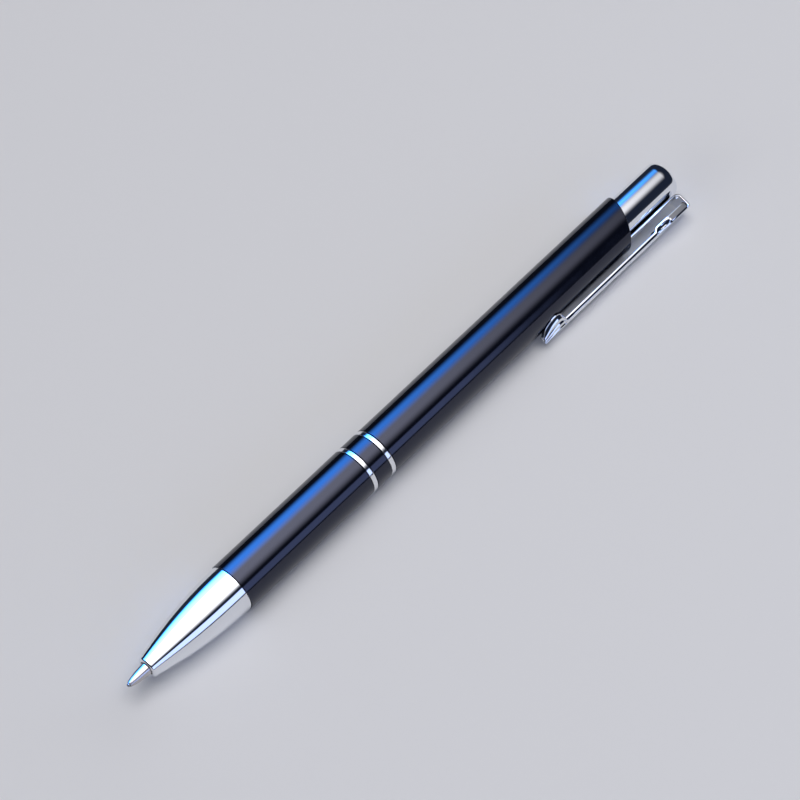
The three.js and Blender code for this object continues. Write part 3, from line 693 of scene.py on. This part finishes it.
def finish_of(name, colour, metallic, roughness, ior=1.5):
    """A new finish with its even values on the shader. Returns the material and its shader."""
    material = bpy.data.materials.new(name)
    material.use_nodes = True
    shader = material.node_tree.nodes["Principled BSDF"]
    shader.inputs["Base Color"].default_value = (*colour, 1)
    shader.inputs["Metallic"].default_value = metallic
    shader.inputs["Roughness"].default_value = roughness
    shader.inputs["IOR"].default_value = ior
    return material, shader


def pattern(material, size, stretch=(1, 1, 1), **settings):
    """A noise pattern on the piece's own coordinates. Size is a mark's width in millimetres."""
    tree = material.node_tree
    place = tree.nodes.new("ShaderNodeTexCoord")
    mapping = tree.nodes.new("ShaderNodeMapping")
    mapping.inputs["Scale"].default_value = stretch
    marks = tree.nodes.new("ShaderNodeTexNoise")
    marks.inputs["Scale"].default_value = 1 / (size * MM)
    for key, value in settings.items():
        marks.inputs[key].default_value = value
    tree.links.new(place.outputs["Object"], mapping.inputs["Vector"])
    tree.links.new(mapping.outputs["Vector"], marks.inputs["Vector"])
    return marks


def spread(material, marks, low, high, socket):
    """Lets a pattern move a value of the shader between two numbers."""
    tree = material.node_tree
    range_node = tree.nodes.new("ShaderNodeMapRange")
    range_node.inputs["From Min"].default_value = NOISE_LOW
    range_node.inputs["From Max"].default_value = NOISE_HIGH
    range_node.inputs["To Min"].default_value = low
    range_node.inputs["To Max"].default_value = high
    tree.links.new(marks.outputs["Fac"], range_node.inputs["Value"])
    tree.links.new(range_node.outputs["Result"], socket)


def tint(material, marks, first, second, shader):
    """Lets a pattern move the base colour between two colours."""
    tree = material.node_tree
    ramp = tree.nodes.new("ShaderNodeValToRGB")
    ramp.color_ramp.elements[0].position = NOISE_LOW
    ramp.color_ramp.elements[1].position = NOISE_HIGH
    ramp.color_ramp.elements[0].color = (*first, 1)
    ramp.color_ramp.elements[1].color = (*second, 1)
    tree.links.new(marks.outputs["Fac"], ramp.inputs["Fac"])
    tree.links.new(ramp.outputs["Color"], shader.inputs["Base Color"])


def relief(material, marks, depth, shader):
    """Lets a pattern raise the surface. Depth is in millimetres."""
    tree = material.node_tree
    bump = tree.nodes.new("ShaderNodeBump")
    bump.inputs["Strength"].default_value = 1
    bump.inputs["Distance"].default_value = depth * MM
    tree.links.new(marks.outputs["Fac"], bump.inputs["Height"])
    for socket in ("Normal", "Coat Normal"):
        tree.links.new(bump.outputs["Normal"], shader.inputs[socket])


def chrome_plate():
    """Polished plate with faint handling haze."""
    material, shader = finish_of("chrome_plate", (0.84, 0.86, 0.9), 1, 0.04)
    haze = pattern(material, 3.0, Detail=4, Roughness=0.6)
    spread(material, haze, 0.02, 0.05, shader.inputs["Roughness"])
    grain = pattern(material, 0.9, Detail=2)
    relief(material, grain, 0.0006, shader)
    return material


def ring_metal():
    """Polished ring with the fine lines of its turning."""
    material, shader = finish_of("ring_metal", (0.86, 0.87, 0.9), 1, 0.07)
    lines = pattern(material, 0.12, stretch=ROUND_THE_PEN, Detail=3, Roughness=0.6)
    spread(material, lines, 0.05, 0.12, shader.inputs["Roughness"])
    relief(material, lines, 0.0004, shader)
    return material


def black_lacquer():
    """Deep gloss black over metal, with a barely uneven surface and faint haze."""
    material, shader = finish_of("black_lacquer", (0.0025, 0.003, 0.006), 0, 0.08, ior=1.62)
    shader.inputs["Specular Tint"].default_value = (0.7, 0.74, 1, 1)
    haze = pattern(material, 4.0, Detail=5, Roughness=0.65)
    spread(material, haze, 0.07, 0.12, shader.inputs["Roughness"])
    waves = pattern(material, 1.6, Detail=1)
    relief(material, waves, 0.0009, shader)
    return material


def turned_metal(name, colour, dull, roughness):
    """Bare metal from the lathe: fine lines round the piece and slightly uneven colour."""
    material, shader = finish_of(name, colour, 1, roughness)
    lines = pattern(material, 0.09, stretch=ROUND_THE_PEN, Detail=4, Roughness=0.7)
    spread(material, lines, roughness * 0.7, roughness * 1.5, shader.inputs["Roughness"])
    relief(material, lines, 0.002, shader)
    stain = pattern(material, 2.5, Detail=4)
    tint(material, stain, colour, dull, shader)
    return material


def moulded_plastic(name, colour, shade, roughness):
    """Moulded plastic with a fine matt skin."""
    material, shader = finish_of(name, colour, 0, roughness)
    skin = pattern(material, 0.12, Detail=3)
    relief(material, skin, 0.004, shader)
    patches = pattern(material, 3.0, Detail=3)
    tint(material, patches, colour, shade, shader)
    spread(material, patches, roughness * 0.85, roughness * 1.2, shader.inputs["Roughness"])
    return material


def wet_filling(name, colour, shade, roughness):
    """Ink or grease: smooth, wet and a little uneven in colour."""
    material, shader = finish_of(name, colour, 0, roughness, ior=1.45)
    swirl = pattern(material, 1.5, Detail=3, Distortion=1.2)
    tint(material, swirl, colour, shade, shader)
    relief(material, swirl, 0.01, shader)
    return material


CHROME = chrome_plate()
RING = ring_metal()
LACQUER = black_lacquer()
NICKEL_SILVER = turned_metal("nickel_silver", (0.6, 0.57, 0.58), (0.5, 0.47, 0.47), 0.16)
BRASS = turned_metal("brass", (0.69, 0.5, 0.2), (0.55, 0.38, 0.14), 0.24)
STEEL = turned_metal("bright_steel", (0.55, 0.57, 0.6), (0.42, 0.43, 0.45), 0.25)
BALL_STEEL = turned_metal("ball_steel", (0.4, 0.41, 0.43), (0.32, 0.33, 0.35), 0.08)
WHITE_PLASTIC = moulded_plastic("white_plastic", (0.78, 0.78, 0.75), (0.7, 0.7, 0.67), 0.42)
BLACK_PLASTIC = moulded_plastic("black_plastic", (0.012, 0.013, 0.016), (0.02, 0.021, 0.024), 0.45)
INK = wet_filling("ink", (0.004, 0.009, 0.07), (0.003, 0.005, 0.04), 0.12)
GREASE = wet_filling("grease", (0.6, 0.58, 0.3), (0.52, 0.5, 0.24), 0.2)

# Each made piece: its body, the solid it stands for, its slot and its finish
MADE = [
    (make_nose_cone(), "barrel", "nose_cone", "chrome_plate", CHROME),
    (turned("lower_tube", tube_outline(*LOWER_BARREL, BARREL_RADIUS, BORE, LOWER_BARREL_ROUNDING)),
     "barrel", "lower_barrel", "black_lacquer", LACQUER),
    (turned("front_band", tube_outline(*FRONT_RING, BARREL_RADIUS, BORE, RING_ROUNDING)),
     "barrel", "front_ring", "ring_metal", RING),
    (make_coupler(), "barrel", "coupler", "black_lacquer", LACQUER),
    (turned("rear_band", tube_outline(*REAR_RING, BARREL_RADIUS, BUSHING_INNER, RING_ROUNDING)),
     "barrel", "rear_ring", "ring_metal", RING),
    (make_upper_barrel(), "barrel", "upper_barrel", "black_lacquer", LACQUER),
    (make_button(), "button", "push_button", "chrome_plate", CHROME),
    (make_refill_point(), "refill", "refill_point", "nickel_silver", NICKEL_SILVER),
    (make_ball(), "refill", "writing_ball", "ball_steel", BALL_STEEL),
    (make_spring(), None, "return_spring", "bright_steel", STEEL),
    (make_clip(), None, "clip", "chrome_plate", CHROME),
]
for piece, body, node, slot, finish in MADE:
    lay_in_pen(piece)
    piece.data.materials.append(finish)
    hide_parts(node)
    if body:
        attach(piece, body)

# The spring stretches between the nose and the refill's shoulder.
spring = bpy.data.objects["coil_wire"]
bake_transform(spring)

# The clip's placement is baked into its mesh.
clip = bpy.data.objects["leaf_clip"]
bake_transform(clip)

# Inner pieces keep their own solids.
INSIDE = {
    "refill_adapter": BRASS,
    "refill_tube": STEEL,
    "ink_column": INK,
    "ink_follower": GREASE,
    "refill_end_plug": BLACK_PLASTIC,
    "nose_bushing": BRASS,
    "upper_bushing": BRASS,
    "cam_housing": WHITE_PLASTIC,
    "rotary_cam": WHITE_PLASTIC,
    "plunger": BLACK_PLASTIC,
}
for node, finish in INSIDE.items():
    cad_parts[node].material_slots[0].material = finish

# Floor
bpy.ops.object.select_all(action="DESELECT")
bpy.ops.mesh.primitive_plane_add(size=6, location=(0, 0, 0))
floor = name_piece("studio_floor")
floor_finish, floor_shader = finish_of("floor_paper", (0.76, 0.765, 0.77), 0, 0.9)
floor_shader.inputs["Specular IOR Level"].default_value = 0
fibres = pattern(floor_finish, 2.0, Detail=4)
relief(floor_finish, fibres, 0.02, floor_shader)
floor.data.materials.append(floor_finish)


def softbox(name, place, width, height, glow, fade):
    """A large flat lamp that faces the pen. Glow is its brightness in red, green and blue.
    Fade is how far it dims in from its four edges, as parts of its size."""
    lamp = bpy.data.lights.new(name, "AREA")
    lamp.shape = "RECTANGLE"
    lamp.size = width
    lamp.size_y = height
    lamp.energy = max(glow) * math.pi * width * height
    lamp.color = [part / max(glow) for part in glow]
    lamp.use_nodes = True
    tree = lamp.node_tree
    surface = tree.nodes.new("ShaderNodeNewGeometry")
    sides = tree.nodes.new("ShaderNodeSeparateXYZ")
    tree.links.new(surface.outputs["Parametric"], sides.inputs["Vector"])
    strength = None
    edges = (("X", fade[0], 0), ("X", fade[1], 1), ("Y", fade[2], 0), ("Y", fade[3], 1))
    for axis, depth, far in edges:
        edge = tree.nodes.new("ShaderNodeMapRange")
        edge.interpolation_type = "SMOOTHSTEP"
        edge.inputs["From Min"].default_value = far
        edge.inputs["From Max"].default_value = 1 - depth if far else depth
        tree.links.new(sides.outputs[axis], edge.inputs["Value"])
        if strength is None:
            strength = edge.outputs["Result"]
            continue
        both = tree.nodes.new("ShaderNodeMath")
        both.operation = "MULTIPLY"
        tree.links.new(strength, both.inputs[0])
        tree.links.new(edge.outputs["Result"], both.inputs[1])
        strength = both.outputs["Value"]
    tree.links.new(strength, tree.nodes["Emission"].inputs["Strength"])
    holder = bpy.data.objects.new(name, lamp)
    bpy.context.scene.collection.objects.link(holder)
    holder.location = place
    beyond_an_end = abs(place[0]) > 1
    away = Vector(place) if beyond_an_end else Vector((0, place[1], place[2]))
    away.normalize()
    side = Vector((0, 1, 0)) if beyond_an_end else Vector((1, 0, 0))
    holder.rotation_mode = "QUATERNION"
    holder.rotation_quaternion = Matrix((side, away.cross(side), away)).transposed().to_quaternion()
    holder.visible_camera = False
    return holder


def around_pen(elevation, distance, shift):
    """A place on the clip's side for angles below 90 degrees, beyond it for larger ones."""
    turn = math.radians(elevation)
    return (shift, -distance * math.cos(turn), distance * math.sin(turn))


softbox(
    "overhead_box",
    place=around_pen(82, 1.3, 0.219),
    width=1.372,
    height=2.38,
    glow=(3.0, 2.95, 3.0),
    fade=(0.09, 0.386, 0.43, 0.4),
)
softbox(
    "clip_side_box",
    place=around_pen(18.5, 1.4, -0.09),
    width=1.56,
    height=0.72,
    glow=(0.82, 1.0, 1.6),
    fade=(0.1, 0.06, 0.12, 0.12),
)
# The blue box is seen in bright and glossy surfaces and leaves the floor its own colour.
gleam = softbox(
    "blue_gleam_box",
    place=around_pen(123.5, 1.4, 0.227),
    width=1.305,
    height=1.85,
    glow=(0.9, 4.6, 13.6),
    fade=(0.09, 0.383, 0.533, 0.493),
)
gleam.visible_diffuse = False
# The end fills light the floor and matt surfaces only.
for name, end in (("button_end_fill", 2.1), ("tip_end_fill", -2.1)):
    fill = softbox(
        name,
        place=(end, 0, 0.8),
        width=2.6,
        height=1.0,
        glow=(2.0, 2.0, 2.05),
        fade=(0.2, 0.2, 0.2, 0.2),
    )
    fill.visible_glossy = False

# World: dim above, paler towards the horizon
world = bpy.data.worlds.new("studio")
bpy.context.scene.world = world
world.use_nodes = True
sky = world.node_tree
direction = sky.nodes.new("ShaderNodeTexCoord")
parts = sky.nodes.new("ShaderNodeSeparateXYZ")
ramp = sky.nodes.new("ShaderNodeValToRGB")
ramp.color_ramp.elements[0].position = 0.0
ramp.color_ramp.elements[0].color = (0.05, 0.055, 0.07, 1)
ramp.color_ramp.elements[1].position = 0.18
ramp.color_ramp.elements[1].color = (0.013, 0.018, 0.034, 1)
sky.links.new(direction.outputs["Generated"], parts.inputs["Vector"])
sky.links.new(parts.outputs["Z"], ramp.inputs["Fac"])
sky.links.new(ramp.outputs["Color"], sky.nodes["Background"].inputs["Color"])

# Camera at the photograph's angle
CAMERA_PLACE = Vector((-0.2297, -0.2869, 0.5051))
CAMERA_AIM = Vector((0.0048, 0.0082, 0.0))
CAMERA_ROLL = math.radians(-10.65)
camera_data = bpy.data.cameras.new("camera")
camera_data.lens = 161.7
camera_data.sensor_width = 36
camera_data.clip_start = 0.01
camera_data.clip_end = 20
camera = bpy.data.objects.new("camera", camera_data)
bpy.context.scene.collection.objects.link(camera)
camera.location = CAMERA_PLACE
camera.rotation_mode = "QUATERNION"
aim = (CAMERA_AIM - CAMERA_PLACE).to_track_quat("-Z", "Y")
camera.rotation_quaternion = aim @ Quaternion((0, 0, 1), CAMERA_ROLL)
bpy.context.scene.camera = camera

bpy.context.scene.view_settings.view_transform = "Standard"
